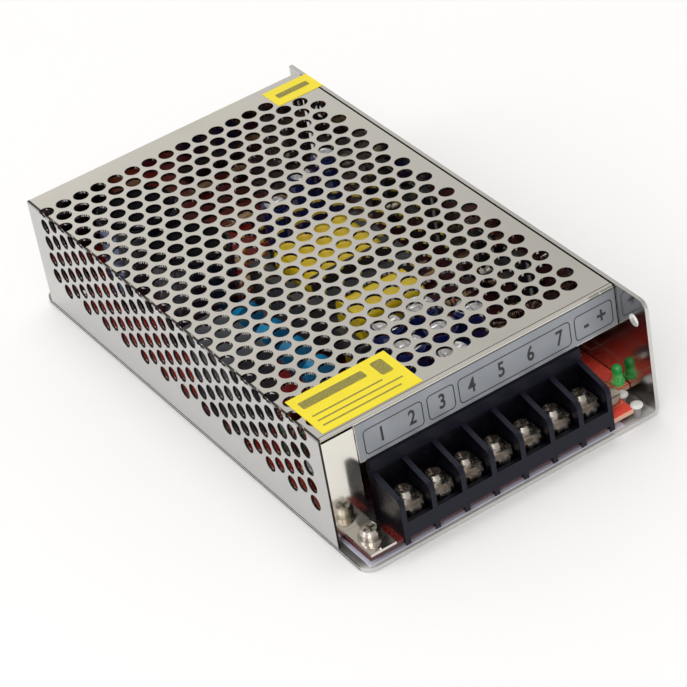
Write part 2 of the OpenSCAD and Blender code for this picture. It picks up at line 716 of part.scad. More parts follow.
module clamp_screws() color("silver") corner_frame() for (c = clamp_ys)
    translate([package_back - package_t - bar_t, c, transistor_z]) rotate([0, -90, 0])
        pan_screw(screw_d, 5.5, 2.2, bar_t + package_t + pad_t + base_t - 0.2);

module control_chip() color("#202024") corner_frame() {
    block([chip_point[0], chip_point[1] - chip_w / 2, top_z + 0.5], [chip_l, chip_w, 3.4]);
    for (i = [0:7], s = [-1, 1])
        block([chip_point[0] + chip_l / 2 + (i - 3.5) * 2.4 - 0.25, chip_point[1] + s * (chip_w / 2 + 0.4) - 0.4, top_z],
            [0.5, 0.8, 2.4]);
}

// Axial resistors and diodes, each lying on the board along x. Behind the transformer they are spread over
// the depth left on the board: the second number of each is its share of that depth.
rear_depth = board_back - rear_face;
axial_length = 6.8;
rear_axials = [[44, 0.178, 3], [44, 0.255, 3], [44, 0.331, 2.4], [46, 0.5, 3], [44, 0.654, 3],
    [44, 0.73, 2.4], [48, 0.823, 3], [61, 0.823, 3], [76, 0.84, 4]];
axial_points = concat([for (p = rear_axials) [p[0], rear_face + p[1] * rear_depth, p[2]]],
    [[base_w - 9.5, base_l - 30, 3], [base_w - 10, base_l - 45, 3], [base_w - 14, 77, 3],
    [base_w - 14, 92, 3], [base_w - 14, 100, 2.4], [base_w - 14, 108, 3], [35.8, 61.5, 3]]);
module axial_parts() color("tan") corner_frame() for (p = axial_points)
    translate([p[0], p[1], top_z + p[2] / 2]) rotate([0, 90, 0]) {
        translate([0, 0, -axial_length / 2]) cylinder(d = p[2], h = axial_length);
        for (s = [-1, 1]) translate([0, 0, s * (axial_length / 2 + 1) - 1.1]) cylinder(d = 0.7, h = 2.2);
    }

chassis();
insulating_sheet();
circuit_board();
mesh_cover();
cover_screws();
foot_washer();
board_screws();
board_standoffs();
nylon_posts();
terminal_block();
terminal_contacts();
for (i = [1:TERMINALS]) {
    terminal_clamp(i);
    terminal_screw(i);
}
trimmer_body();
trimmer_rotor();
status_led();
terminal_label();
yellow_labels();
transformer_core();
transformer_bobbin();
transformer_winding();
driver_core();
driver_winding();
for (i = [1:len(bulk_points)])
    bulk_capacitor(i);
for (i = [1:len(output_cap_points)])
    output_capacitor(i);
disc_capacitors();
x_capacitor();
line_choke_core();
line_choke_winding();
output_choke_core();
output_choke_winding();
bridge_rectifier();
thermistor();
fuse();
fuse_clips();
power_transistors();
transistor_pads();
clamp_bars();
clamp_screws();
control_chip();
axial_parts();
aux_capacitors();
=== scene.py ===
import math
import bpy
import numpy as np
from mathutils import Matrix, Vector


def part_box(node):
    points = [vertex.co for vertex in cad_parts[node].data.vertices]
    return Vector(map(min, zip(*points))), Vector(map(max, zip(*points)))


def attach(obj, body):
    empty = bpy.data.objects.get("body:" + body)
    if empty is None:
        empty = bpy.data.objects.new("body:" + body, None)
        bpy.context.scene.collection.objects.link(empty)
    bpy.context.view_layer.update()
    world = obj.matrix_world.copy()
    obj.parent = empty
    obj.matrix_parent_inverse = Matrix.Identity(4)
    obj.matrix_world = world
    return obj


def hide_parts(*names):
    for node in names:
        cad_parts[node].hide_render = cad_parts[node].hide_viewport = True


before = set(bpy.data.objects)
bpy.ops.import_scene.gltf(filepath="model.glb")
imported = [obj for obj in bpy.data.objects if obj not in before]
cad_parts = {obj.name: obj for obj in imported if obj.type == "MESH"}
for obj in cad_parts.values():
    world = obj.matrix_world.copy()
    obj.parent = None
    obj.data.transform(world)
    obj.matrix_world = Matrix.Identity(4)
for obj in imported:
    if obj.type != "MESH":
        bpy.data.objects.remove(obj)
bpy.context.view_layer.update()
MM = 0.001

# ---- Studio: a case lying on a white table ----
# A long lens looks down on the terminal end from the front left, turned a little about its own axis.
# A white table, a pale surround and three large soft lamps give the plated steel something to mirror.
eye = Vector((-324.5, -628.0, 512.8)) * MM
target = Vector((-8.4, -21.5, 19.0)) * MM
roll = math.radians(-10.55)
ahead = (target - eye).normalized()
level = ahead.cross(Vector((0, 0, 1))).normalized()
right = level * math.cos(roll) + level.cross(ahead) * math.sin(roll)
above = right.cross(ahead)
camera = bpy.data.objects.new("camera", bpy.data.cameras.new("camera"))
camera.data.lens, camera.data.sensor_width = 157.0, 36.0
camera.data.clip_start, camera.data.clip_end = 0.05, 20
camera.matrix_world = Matrix.Translation(eye) @ Matrix((right, above, -ahead)).transposed().to_4x4()
bpy.context.collection.objects.link(camera)
bpy.context.scene.camera = camera
bpy.context.scene.view_settings.view_transform = "Standard"


def lamp(name, at, size, watts, colour=(1, 1, 1), aim=(0, 0, 0.02)):
    """A square area lamp at a point, turned so that its face looks at the aim."""
    data = bpy.data.lights.new(name, "AREA")
    data.size, data.energy, data.color = size, watts, colour
    o = bpy.data.objects.new(name, data)
    o.location = at
    o.rotation_euler = (Vector(aim) - Vector(at)).to_track_quat("-Z", "Y").to_euler()
    bpy.context.collection.objects.link(o)


lamp("lamp_front", (-0.9, -1.1, 1.4), 0.8, 6)
lamp("lamp_left", (-1.5, 0.4, 1.0), 0.8, 4)
lamp("lamp_top", (0.25, 0.3, 1.8), 0.9, 8, (1.0, 0.98, 0.95))

RANGE_SOCKETS = ("From Min", "From Max", "To Min", "To Max")
low_tone, middle_tone, high_tone = (1.0, 1.0, 1.0, 1), (0.92, 0.89, 0.83, 1), (0.62, 0.62, 0.64, 1)
world = bpy.data.worlds.new("surround")
bpy.context.scene.world = world
world.use_nodes = True
parts, joined = world.node_tree.nodes, world.node_tree.links
where, split = parts.new("ShaderNodeTexCoord"), parts.new("ShaderNodeSeparateXYZ")
ramp = parts.new("ShaderNodeValToRGB")
joined.new(where.outputs["Generated"], split.inputs[0])
joined.new(split.outputs["Z"], ramp.inputs[0])
stops = ramp.color_ramp.elements
stops[0].position, stops[0].color = 0.0, low_tone
stops[1].position, stops[1].color = 1.0, high_tone
stops.new(0.45).color = middle_tone
# The light fades towards the right of what the top mirrors, as beside a dark flag.
turn, fade, shade = parts.new("ShaderNodeMath"), parts.new("ShaderNodeMapRange"), parts.new("ShaderNodeMix")
turn.operation = "ARCTAN2"
joined.new(split.outputs["X"], turn.inputs[0])
joined.new(split.outputs["Y"], turn.inputs[1])
joined.new(turn.outputs[0], fade.inputs["Value"])
for socket, number in zip(RANGE_SOCKETS, (0.36, 0.60, 1.08, 0.74)):
    fade.inputs[socket].default_value = number
shade.data_type, shade.blend_type = "RGBA", "MULTIPLY"
shade.inputs["Factor"].default_value = 1.0
joined.new(ramp.outputs[0], shade.inputs["A"])
joined.new(fade.outputs["Result"], shade.inputs["B"])
joined.new(shade.outputs["Result"], parts["Background"].inputs[0])
parts["Background"].inputs[1].default_value = 1.0


def grid_faces(n, m, wrap=False):
    """Quads between neighbouring points of an n by m grid, numbered row by row; with wrap each row is a closed loop."""
    i, j = np.meshgrid(np.arange(n - 1), np.arange(m if wrap else m - 1), indexing="ij")
    beside = (j + 1) % m
    return np.stack([i * m + j, (i + 1) * m + j, (i + 1) * m + beside, i * m + beside], -1).reshape(-1, 4)


def mesh_object(name, verts, faces, smooth=True):
    """A new mesh object from an array of points in metres and faces of any size."""
    me = bpy.data.meshes.new(name)
    me.from_pydata(np.asarray(verts).reshape(-1, 3).tolist(), [], [tuple(int(k) for k in f) for f in faces])
    me.polygons.foreach_set("use_smooth", np.full(len(me.polygons), smooth))
    me.update()
    o = bpy.data.objects.new(name, me)
    bpy.context.collection.objects.link(o)
    return o


table_corners = [(-4.0, -4.0), (6.0, -4.0), (6.0, 6.0), (-4.0, 6.0)]
below_base = -0.2 * MM
table = mesh_object("table", [(x, y, below_base) for x, y in table_corners], [(0, 1, 2, 3)], smooth=False)


class Finish:
    """A principled material whose noises all read Object coordinates, with short calls to add them."""

    def __init__(self, name, colour, rough, metal=0.0, **sockets):
        self.material = bpy.data.materials.new(name)
        self.material.use_nodes = True
        self.nodes, self.links = self.material.node_tree.nodes, self.material.node_tree.links
        self.shader = self.nodes["Principled BSDF"]
        self.put("Base Color", (*colour, 1))
        self.put("Roughness", rough)
        self.put("Metallic", metal)
        for key, value in sockets.items():
            self.put(key.replace("_", " "), value)
        self.coord = self.nodes.new("ShaderNodeTexCoord").outputs["Object"]
        self.colour, self.height = colour, None

    def put(self, socket, value):
        """Sets one of the shader's own sockets."""
        self.shader.inputs[socket].default_value = value

    def noise(self, scale, detail=3.0, stretch=(1, 1, 1), kind="ShaderNodeTexNoise", out="Fac"):
        """Noise with so many cells a metre, squeezed along each axis by stretch."""
        place, tex = self.nodes.new("ShaderNodeMapping"), self.nodes.new(kind)
        place.inputs["Scale"].default_value = stretch
        tex.inputs["Scale"].default_value = scale
        if "Detail" in tex.inputs:
            tex.inputs["Detail"].default_value = detail
        self.links.new(self.coord, place.inputs["Vector"])
        self.links.new(place.outputs[0], tex.inputs["Vector"])
        return tex.outputs[out]

    def axis(self, name):
        """One Object coordinate, in metres."""
        part = self.nodes.new("ShaderNodeSeparateXYZ")
        self.links.new(self.coord, part.inputs[0])
        return part.outputs[name]

    def math(self, kind, a, b=0.0):
        """One step of arithmetic on two values, each a number or a node's output."""
        node = self.nodes.new("ShaderNodeMath")
        node.operation = kind
        for slot, value in zip(node.inputs, (a, b)):
            if hasattr(value, "node"):
                self.links.new(value, slot)
            else:
                slot.default_value = value
        return node.outputs[0]

    def times(self, first, *others):
        """The product of several masks."""
        for other in others:
            first = self.math("MULTIPLY", first, other)
        return first

    def span(self, value, low, high, to_low, to_high):
        """A straight ramp between two levels of a value, held beyond both."""
        node = self.nodes.new("ShaderNodeMapRange")
        self.links.new(value, node.inputs["Value"])
        for socket, number in zip(RANGE_SOCKETS, (low, high, to_low, to_high)):
            node.inputs[socket].default_value = number
        return node.outputs["Result"]

    def along(self, name, datum, low, high, to_low, to_high):
        """A ramp along an axis, between two distances in mm from a datum in metres."""
        return self.span(self.axis(name), datum + low * MM, datum + high * MM, to_low, to_high)

    def near(self, name, datum, offset, reach):
        """1 within so many mm of a place along an axis, which is an offset in mm from a datum in metres."""
        distance = self.math("ABSOLUTE", self.math("SUBTRACT", self.axis(name), datum + offset * MM))
        return self.math("LESS_THAN", distance, reach * MM)

    def blend(self, factor, other):
        """Mixes the colour so far with another, where the factor is 1."""
        node = self.nodes.new("ShaderNodeMix")
        node.data_type = "RGBA"
        self.links.new(factor, node.inputs["Factor"])
        base = self.shader.inputs["Base Color"]
        if base.is_linked:
            self.links.new(base.links[0].from_socket, node.inputs["A"])
        else:
            node.inputs["A"].default_value = (*self.colour, 1)
        node.inputs["B"].default_value = (*other, 1)
        self.links.new(node.outputs["Result"], base)
        return self

    def mottle(self, scale, other, low=0.4, high=0.7, detail=3.0):
        """Patches of another colour, with so many cells of noise a metre."""
        return self.blend(self.span(self.noise(scale, detail), low, high, 0, 1), other)

    def vary(self, socket, source, to_low, to_high, low=0.3, high=0.7):
        """Drives a socket from a source, between two values."""
        self.links.new(self.span(source, low, high, to_low, to_high), self.shader.inputs[socket])
        return self

    def bump(self, source, depth, strength=1.0):
        """Adds relief of so many metres, on top of any relief so far."""
        node = self.nodes.new("ShaderNodeBump")
        node.inputs["Strength"].default_value, node.inputs["Distance"].default_value = strength, depth
        self.links.new(source, node.inputs["Height"])
        if self.height is not None:
            self.links.new(self.height, node.inputs["Normal"])
        self.height = node.outputs[0]
        self.links.new(self.height, self.shader.inputs["Normal"])
        return self


def dress(finish, *pieces):
    """Gives one finish to CAD nodes, by name, and to new pieces."""
    for piece in pieces:
        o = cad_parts[piece] if isinstance(piece, str) else piece
        o.data.materials.clear()
        o.data.materials.append(finish.material)


def box(node):
    """The lowest and highest corners of a CAD node."""
    return [Vector(corner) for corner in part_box(node)]


paper = Finish("table_white", (0.92, 0.92, 0.93), 0.7)
paper.vary("Roughness", paper.noise(60), 0.6, 0.8)
dress(paper, table)

# ---- Case: two folded sheets of bright plated steel ----
# The base is a plate with one full side wall; the cover is punched with rows of round holes and folded over it.
# The plating is nearly a mirror with faint clouds; the sheared and punched edges between the faces are dull, darker
# grey on the top and, as painted shade, near black with a red tint on the side.
plate = Finish("plated_sheet", (0.655, 0.64, 0.605), 0.24, metal=1.0)
cover_low, cover_high = box("mesh_cover")
label_low, label_high = box("terminal_label")
front_y = label_high.y  # the outside of the cover's front lip, which the label lies on
cover_sheet = 0.8
foot_rise = 4.5
clouds, smears = plate.noise(70), plate.noise(300, stretch=(1.0, 0.15, 1.0))
plate.mottle(34, (0.60, 0.585, 0.545), 0.42, 0.72, detail=5)
# Painted shade: the outer face of the left side is darker than the top.
plate.blend(plate.along("X", cover_low.x, 0.02, 0.05, 1, 0), (0.51, 0.505, 0.495))
spangle = plate.span(plate.noise(130, 2, kind="ShaderNodeTexVoronoi", out="Distance"), 0.25, 0.6, 0, 0.5)
plate.blend(plate.times(spangle, plate.along("Z", cover_low.z, 9, 14, 1, 0.2)), (0.60, 0.60, 0.59))
# In front of the lip the cover has a return flange, and under it the foot that a screw holds down.
forward_part = plate.along("Y", front_y, 0.02, 0.05, 1, 0)
above_foot = plate.along("Z", cover_low.z, foot_rise - 0.1, foot_rise + 0.1, 0, 1)
# Painted light: the flange's front face is painted paler and creamier, standing in for the bright floor it mirrors.
flange_painted_light = plate.times(forward_part, above_foot, plate.along("X", cover_low.x, 0.05, 0.1, 0, 1))
plate.blend(flange_painted_light, (0.80, 0.78, 0.71))
foot_part = plate.times(forward_part, plate.math("SUBTRACT", 1.0, above_foot))
plate.blend(foot_part, (0.72, 0.68, 0.64))


def between_faces(finish, axis, low, high):
    """1 where a coordinate lies between two faces of the sheet and 0 on either face."""
    clear, full = 0.04 * MM, 0.1 * MM
    value = finish.axis(axis)
    return finish.times(finish.span(value, low + clear, low + full, 0, 1),
                        finish.span(value, high - full, high - clear, 1, 0))


side_edges = between_faces(plate, "X", cover_low.x, cover_low.x + cover_sheet * MM)
top_edges = between_faces(plate, "Z", cover_high.z - cover_sheet * MM, cover_high.z)
# Painted shade: the cut edges of the side's holes are near black with a red tint; the top's are a darker grey.
plate.blend(plate.times(side_edges, 0.95), (0.016, 0.007, 0.008))
plate.blend(plate.times(top_edges, 0.55), (0.16, 0.155, 0.15))
# Painted shade: a fine dark line is painted just within each fold's round.
top_skin = plate.along("Z", cover_high.z, -0.06, -0.03, 0, 1)
lip_skin = plate.math("LESS_THAN", plate.axis("Y"), front_y + 0.03 * MM)
fold_top = plate.times(top_skin, plate.near("Y", front_y, 1.0, 0.16))
fold_front = plate.times(lip_skin, plate.near("Z", cover_high.z, -1.2, 0.2))
fold_left = plate.times(top_skin, plate.near("X", cover_low.x, 0.7, 0.2))
for fold_shade_line, share in ((fold_top, 0.75), (fold_front, 0.8), (fold_left, 0.6)):
    plate.blend(plate.times(fold_shade_line, share), (0.06, 0.055, 0.05))
rubbed = plate.math("ADD", plate.times(clouds, 0.6), plate.times(smears, 0.4))
smoother_foot = plate.math("SUBTRACT", 1.0, plate.times(foot_part, 0.7))
rubbed = plate.times(plate.span(rubbed, 0.3, 0.7, 0.06, 0.16), smoother_foot)
plate.vary("Roughness", plate.math("ADD", rubbed, plate.times(side_edges, 0.5)), 0, 1, 0, 1)
plate.bump(plate.noise(45, 2), 0.18 * MM, 0.2)
dress(plate, "mesh_cover")

base_plate = Finish("base_sheet", (0.62, 0.615, 0.60), 0.14, metal=1.0)
base_plate.mottle(40, (0.54, 0.535, 0.52), 0.45, 0.75, detail=4)
base_low, base_high = box("chassis")
base_sheet = 1.2
near_floor = (base_sheet + 0.1, 2.5)
dull_floor = base_plate.along("Z", base_low.z, *near_floor, 0.42, 0)
streaks = base_plate.span(base_plate.noise(120), 0.3, 0.7, 0.11, 0.2)
base_plate.vary("Roughness", base_plate.math("ADD", streaks, dull_floor), 0, 1, 0, 1)
front_strip = base_plate.times(base_plate.along("Y", base_low.y, 1.5, 3, 0.7, 0),
                               base_plate.along("Z", base_low.z, *near_floor, 1, 0))
base_plate.vary("Metallic", front_strip, 1.0, 0.0, 0, 1)
base_plate.bump(base_plate.noise(60, 2), 0.2 * MM, 0.2)
# Painted shade: the floor behind its front strip is darker, under the board and the cover.
floor_shade = base_plate.times(base_plate.along("Y", base_low.y, 2, 5, 0, 1),
                              base_plate.along("Z", base_low.z, base_sheet - 0.05, base_sheet - 0.01, 0, 1),
                              base_plate.along("Z", base_low.z, *near_floor, 1, 0))
base_plate.blend(floor_shade, (0.30, 0.285, 0.275))
# Painted shade: the inner face of the side wall is darker above the floor, within the case.
inner_wall = base_plate.times(base_plate.along("X", base_high.x, -base_sheet - 0.05, -base_sheet + 0.05, 1, 0),
                              base_plate.along("Z", base_low.z, 3, 8, 0, 1))
base_plate.blend(inner_wall, (0.43, 0.42, 0.42))
lip_shade = base_plate.times(inner_wall, base_plate.near("Y", front_y, 0, 0.9),
                             base_plate.along("Z", label_low.z, -1, 0, 0, 0.9))
base_plate.blend(lip_shade, (0.02, 0.018, 0.02))
# Painted shade: thin dark bands along the plate's outer edge, at its foot where it meets the table and at its top under
# the cover's skirt.
outer_edge = base_plate.along("X", base_low.x, 0.05, 0.15, 1, 0)
edge_shade_bands = base_plate.math("ADD", base_plate.along("Z", base_low.z, 0.38, 0.45, 1, 0),
                          base_plate.along("Z", base_low.z, 0.85, 0.92, 0, 1))
plate_edge = base_plate.along("Z", base_low.z, base_sheet + 0.05, base_sheet + 0.15, 1, 0)
base_plate.blend(base_plate.times(outer_edge, edge_shade_bands, plate_edge), (0.025, 0.024, 0.026))
dress(base_plate, "chassis")

# ---- Front label: satin silver film on the lip, above the terminals ----
# Printed in black on the film: a rounded frame round each group of terminals and a plain number over each one.
# The last frame stands over the trimmer and has only a minus and a plus.
film = Finish("silver_film", (0.33, 0.35, 0.385), 0.38, metal=0.6)
film.mottle(60, (0.28, 0.30, 0.33), 0.4, 0.8, detail=2).vary("Roughness", film.noise(220, 3), 0.3, 0.46)
film.bump(film.noise(500, 2), 0.02 * MM, 0.4)
dress(film, "terminal_label")
ink = Finish("print_ink", (0.02, 0.02, 0.025), 0.45)
ink.mottle(2500, (0.06, 0.06, 0.07), 0.5, 0.8).vary("Roughness", ink.noise(800), 0.35, 0.6)
block_low, block_high = box("terminal_block")
print_gap = 0.02 * MM
ink_y = label_low.y - print_gap
pitch = 9.8 * MM
end_wall = 0.8 * MM
terminal_count = 7
first_terminal = block_low.x + end_wall + pitch / 2


def rounded_loop(u0, u1, v0, v1, r, n=8):
    """Points once round a rectangle whose corners are quarter circles of radius r."""
    t = np.linspace(0, np.pi / 2, n)
    arcs = [(u1 - r, v1 - r, 0), (u0 + r, v1 - r, 1), (u0 + r, v0 + r, 2), (u1 - r, v0 + r, 3)]
    return np.concatenate([np.stack([cu + r * np.cos(t + q * np.pi / 2), cv + r * np.sin(t + q * np.pi / 2)], 1)
                           for cu, cv, q in arcs])


def frame_strip(u0, u1, v0, v1, r, width):
    """A closed strip between a rounded loop and the same loop drawn in by its width: points (u, v) and quads."""
    outer = rounded_loop(u0, u1, v0, v1, r)
    inner = rounded_loop(u0 + width, u1 - width, v0 + width, v1 - width, max(r - width, 0.05 * MM))
    return np.concatenate([inner, outer]), grid_faces(2, len(outer), wrap=True)


middle_x, middle_y = 48.6, 89.0  # the shared frame's origin from the case's front left corner, in mm


def part_point(x, y):
    """From the case's front left corner, in mm, to the shared frame at its middle, in metres."""
    return (x - middle_x) * MM, (y - middle_y) * MM


def join(pieces):
    """Several (points, faces) made one, with the faces' numbers moved on."""
    verts, faces, count = [], [], 0
    for points, polygons in pieces:
        verts.append(points)
        faces += [tuple(i + count for i in polygon) for polygon in polygons]
        count += len(points)
    return np.concatenate(verts), faces


def label_frame(start, end):
    """One printed frame, upright on the film: from a place to another along the case, in mm."""
    (left, _), (right, _) = part_point(start, 0), part_point(end, 0)
    uv, quads = frame_strip(left, right, label_low.z + 1.2 * MM, label_low.z + 9.4 * MM, 1.4 * MM, 0.34 * MM)
    return np.stack([uv[:, 0], np.full(len(uv), ink_y), uv[:, 1]], 1), quads


groups = [(12.4, 31.6), (33.0, 42.0), (43.2, 80.9), (82.2, 95.3)]
frame_print = mesh_object("label_frames", *join(label_frame(*group) for group in groups), smooth=False)
capital_height = 0.7  # of the plain sans face, for a size of 1
stroke_weight = 0.024


def numeral(text, height, narrow, at):
    """A sign drawn by a plain sans face, made a mesh, squeezed sideways and stood upright on the film."""
    curve = bpy.data.curves.new("sign", "FONT")
    curve.body, curve.align_x, curve.align_y, curve.resolution_u = text, "CENTER", "CENTER", 3
    curve.offset = stroke_weight
    holder = bpy.data.objects.new("sign", curve)
    bpy.context.collection.objects.link(holder)
    bpy.context.view_layer.update()
    flat = bpy.data.meshes.new_from_object(holder.evaluated_get(bpy.context.evaluated_depsgraph_get()))
    bpy.data.objects.remove(holder)
    p = np.empty(len(flat.vertices) * 3)
    flat.vertices.foreach_get("co", p)
    p = p.reshape(-1, 3) * height / capital_height
    polygons = [tuple(q.vertices) for q in flat.polygons]
    return np.asarray(at) + np.outer(p[:, 0] * narrow, (1, 0, 0)) + np.outer(p[:, 1], (0, 0, 1)), polygons


sign_z = label_low.z + 5.3 * MM
signs = [numeral(str(i + 1), 4.6 * MM, 0.75, (first_terminal + i * pitch, ink_y, sign_z))
         for i in range(terminal_count)]
signs += [numeral(sign, 5.0 * MM, 0.8, (part_point(x, 0)[0], ink_y, sign_z))
          for sign, x in (("-", 86.2), ("+", 91.4))]
numbers = mesh_object("label_numbers", *join(signs), smooth=False)
for piece in (frame_print, numbers):
    dress(ink, piece)
    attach(piece, "case")

# ---- Yellow labels: glossy film stuck on the cover's top and over its rear corner ----
# The printed words are left out: a heavy bar, a small square and three fine bars keep the field's look.
yellow = Finish("yellow_film", (0.84, 0.70, 0.006), 0.34, Coat_Weight=0.12, Coat_Roughness=0.2)
yellow.mottle(40, (0.78, 0.63, 0.004), 0.45, 0.8).vary("Roughness", yellow.noise(150, 3), 0.22, 0.42)
yellow.bump(yellow.noise(110, 2), 0.04 * MM, 0.5)
dress(yellow, "yellow_labels")


def bars(boxes, z):
    """Flat rounded bars on a plane of height z, each from (x0, x1, y0, y1, corner radius) in metres."""
    loops = [rounded_loop(*sides, 5) for sides in boxes]
    return join((np.column_stack([loop, np.full(len(loop), z)]), [tuple(range(len(loop)))]) for loop in loops)


def from_corner(x, y, *sizes):
    """A bar's sides and corner radius in mm from a label's corner, made metres in the shared frame."""
    x0, x1, y0, y1, r = (size * MM for size in sizes)
    return x + x0, x + x1, y + y0, y + y1, r


yellow_low, yellow_high = box("yellow_labels")
heavy_bar, small_square = (2.0, 22.5, 12.2, 15.6, 0.5), (25.6, 29.4, 9.6, 16.4, 0.8)
fine_bars = [(2.0, 24.5, 7.8, 8.4, 0.2), (2.0, 29.4, 5.2, 5.8, 0.2), (2.0, 27.2, 2.6, 3.2, 0.2)]
fields = [from_corner(yellow_low.x, yellow_low.y, *sizes) for sizes in (heavy_bar, small_square, *fine_bars)]
rear_label, rear_bar = (16.2, 9.6), (2.4, 13.8, 3.6, 6.2, 0.5)
fields.append(from_corner(yellow_high.x - rear_label[0] * MM, yellow_high.y - rear_label[1] * MM, *rear_bar))
label_bars = mesh_object("label_bars", *bars(fields, yellow_high.z + print_gap), smooth=False)
faded = Finish("faded_ink", (0.22, 0.19, 0.03), 0.45)
faded.mottle(1500, (0.36, 0.31, 0.03), 0.45, 0.8).vary("Roughness", faded.noise(800), 0.35, 0.6)
dress(faded, label_bars)
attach(label_bars, "case")

# ---- Terminal block: black moulded plastic with a wall on each side of every screw ----
# The moulding is satin with a faint blue cast, its colour pushed almost to black as painted shade in the bays; as
# painted light, the up-facing wall tops, the forward-facing front edge and a forward-facing band along the top of the
# rear wall are painted a little paler.
moulding = Finish("block_plastic", (0.0015, 0.0015, 0.004), 0.42, Specular_IOR_Level=0.18)
facing = moulding.nodes.new("ShaderNodeSeparateXYZ")
moulding.links.new(moulding.nodes.new("ShaderNodeNewGeometry").outputs["True Normal"], facing.inputs[0])
faces_up = moulding.span(facing.outputs["Z"], 0.2, 0.5, 0, 1)
faces_front = moulding.span(facing.outputs["Y"], -0.9, -0.6, 1, 0)
upward = moulding.times(faces_up, moulding.along("Z", block_low.z, 8.5, 9.5, 0, 1))
forward = moulding.times(faces_front, moulding.along("Y", block_low.y, 0.3, 0.9, 1, 0))
band = moulding.times(faces_front, moulding.along("Z", block_high.z, -4.05, -3.95, 0, 0.7))
# Painted light: up-facing wall tops, the forward-facing front edge and the rear wall's band are paler.
pale = moulding.math("MAXIMUM", moulding.math("MAXIMUM", upward, forward), band)
moulding.blend(pale, (0.010, 0.010, 0.020))
moulding.mottle(300, (0.007, 0.007, 0.016), 0.55, 0.85).vary("Roughness", moulding.noise(700, 4), 0.32, 0.5)
moulding.bump(moulding.noise(1800, 2), 0.03 * MM, 0.4)
dress(moulding, "terminal_block")

# ---- Terminal metal: tapped contacts, square clamps and pan head screws ----
# Bright zinc and nickel over steel and brass; stamped faces are slightly wavy and pick up a warm tint.
nickel = Finish("terminal_nickel", (0.50, 0.465, 0.43), 0.22, metal=1.0)
nickel.mottle(420, (0.31, 0.265, 0.22), 0.42, 0.75, detail=4).vary("Roughness", nickel.noise(900, 4), 0.16, 0.36)
nickel.bump(nickel.noise(500, 2), 0.06 * MM, 0.35)
dress(nickel, "terminal_contacts", *[f"terminal_{kind}_{i}" for kind in ("clamp", "screw")
                                    for i in range(1, terminal_count + 1)])
zinc = Finish("screw_zinc", (0.52, 0.49, 0.455), 0.2, metal=1.0)
zinc.mottle(500, (0.36, 0.32, 0.28), 0.45, 0.8, detail=4).vary("Roughness", zinc.noise(1000, 4), 0.12, 0.3)
zinc.bump(zinc.noise(900, 3), 0.05 * MM, 0.5)
dress(zinc, "cover_screws", "foot_washer", "board_screws", "board_standoffs", "clamp_bars", "clamp_screws")

# ---- Circuit board: glass fibre sheet under red solder mask ----
# Copper tracks under the mask read as slightly brighter fields with soft edges; the sawn edge is dull, pinkish tan at
# the right of the block and painted dark red elsewhere as painted shade.
# The mask is painted brighter where the case is open, at the right of the block, as painted light; it is painted darker
# under the cover, towards its far corner, beside the block and round the gap at the flange, as painted shade.
board = Finish("board_mask", (0.52, 0.024, 0.012), 0.3, Coat_Weight=0.15, Coat_Roughness=0.12)
tracks = board.noise(95, 2, (1, 1, 0.02), "ShaderNodeTexVoronoi", "Distance")
for node in board.nodes:
    if node.bl_idname == "ShaderNodeTexVoronoi":
        node.distance = "CHEBYCHEV"
field = board.span(tracks, 0.30, 0.34, 0, 1)
board.blend(field, (0.64, 0.035, 0.018))
board_low, board_high = box("circuit_board")
# Painted light: the mask is brighter where the case is open, right of the block.
open_part_light = board.times(board.along("Y", front_y, 8, 16, 1, 0), board.along("X", block_high.x, 0, 1, 0, 1))
board.blend(open_part_light, (0.95, 0.085, 0.05))
# Painted shade: darker under the cover, most so towards the right.
under_cover_shade = board.times(board.along("Y", front_y, 10, 24, 0, 1), board.along("X", board_low.x, 20, 60, 0.3, 0.75))
board.blend(under_cover_shade, (0.07, 0.006, 0.008))
# Painted shade: darker still towards the rear right under the cover.
far_corner_shade = board.times(board.along("Y", front_y, 14, 24, 0, 1), board.along("X", board_low.x, 66, 76, 0, 0.8))
board.blend(far_corner_shade, (0.035, 0.018, 0.024))
# Painted shade: dark red on the board left of the block, near the front.
beside_block_shade = board.times(board.along("X", block_low.x, -0.1, 0.3, 1, 0), board.along("Y", front_y, 2, 5, 1, 0))
board.blend(board.times(beside_block_shade, 0.85), (0.05, 0.005, 0.006))
# Painted shade: near black on the board round the gap between the cover's flange and the block, and behind it.
flange_gap_shade = board.times(board.along("X", block_low.x, -4, -3.4, 0, 1), board.along("X", block_low.x, 9, 11, 1, 0),
                   board.along("Y", board_low.y, 6, 9, 0, 0.97), board.along("Y", front_y, 24, 30, 1, 0))
board.blend(flange_gap_shade, (0.003, 0.002, 0.003))
# Painted shade: the sawn edge is dark red; right of the block it keeps the pinkish tan of the cut board.
sawn_edge = board.times(board.along("Z", board_high.z, -0.25, -0.15, 1, 0),
                        board.along("Z", board_low.z, -0.1, 0, 0, 1))
board.blend(sawn_edge, (0.055, 0.004, 0.007))
board.blend(board.times(sawn_edge, board.along("X", block_high.x, -0.4, 0, 0, 1)), (0.72, 0.40, 0.28))
board.vary("Roughness", board.noise(400), 0.2, 0.38).bump(field, 0.04 * MM, 0.6)
dress(board, "circuit_board")

# Printed outlines round the parts nearest the opening, in white ink on the mask.
silk = Finish("silk_white", (0.72, 0.60, 0.52), 0.55)
silk.mottle(1800, (0.65, 0.55, 0.5), 0.5, 0.8).vary("Roughness", silk.noise(900), 0.45, 0.65)


def part_outline(x0, x1, y0, y1):
    """A printed outline flat on the board: its sides in mm from the case's front left corner."""
    (u0, v0), (u1, v1) = part_point(x0, y0), part_point(x1, y1)
    uv, quads = frame_strip(u0, u1, v0, v1, 0.4 * MM, 0.16 * MM)
    return np.column_stack([uv, np.full(len(uv), board_high.z + 0.03 * MM)]), quads


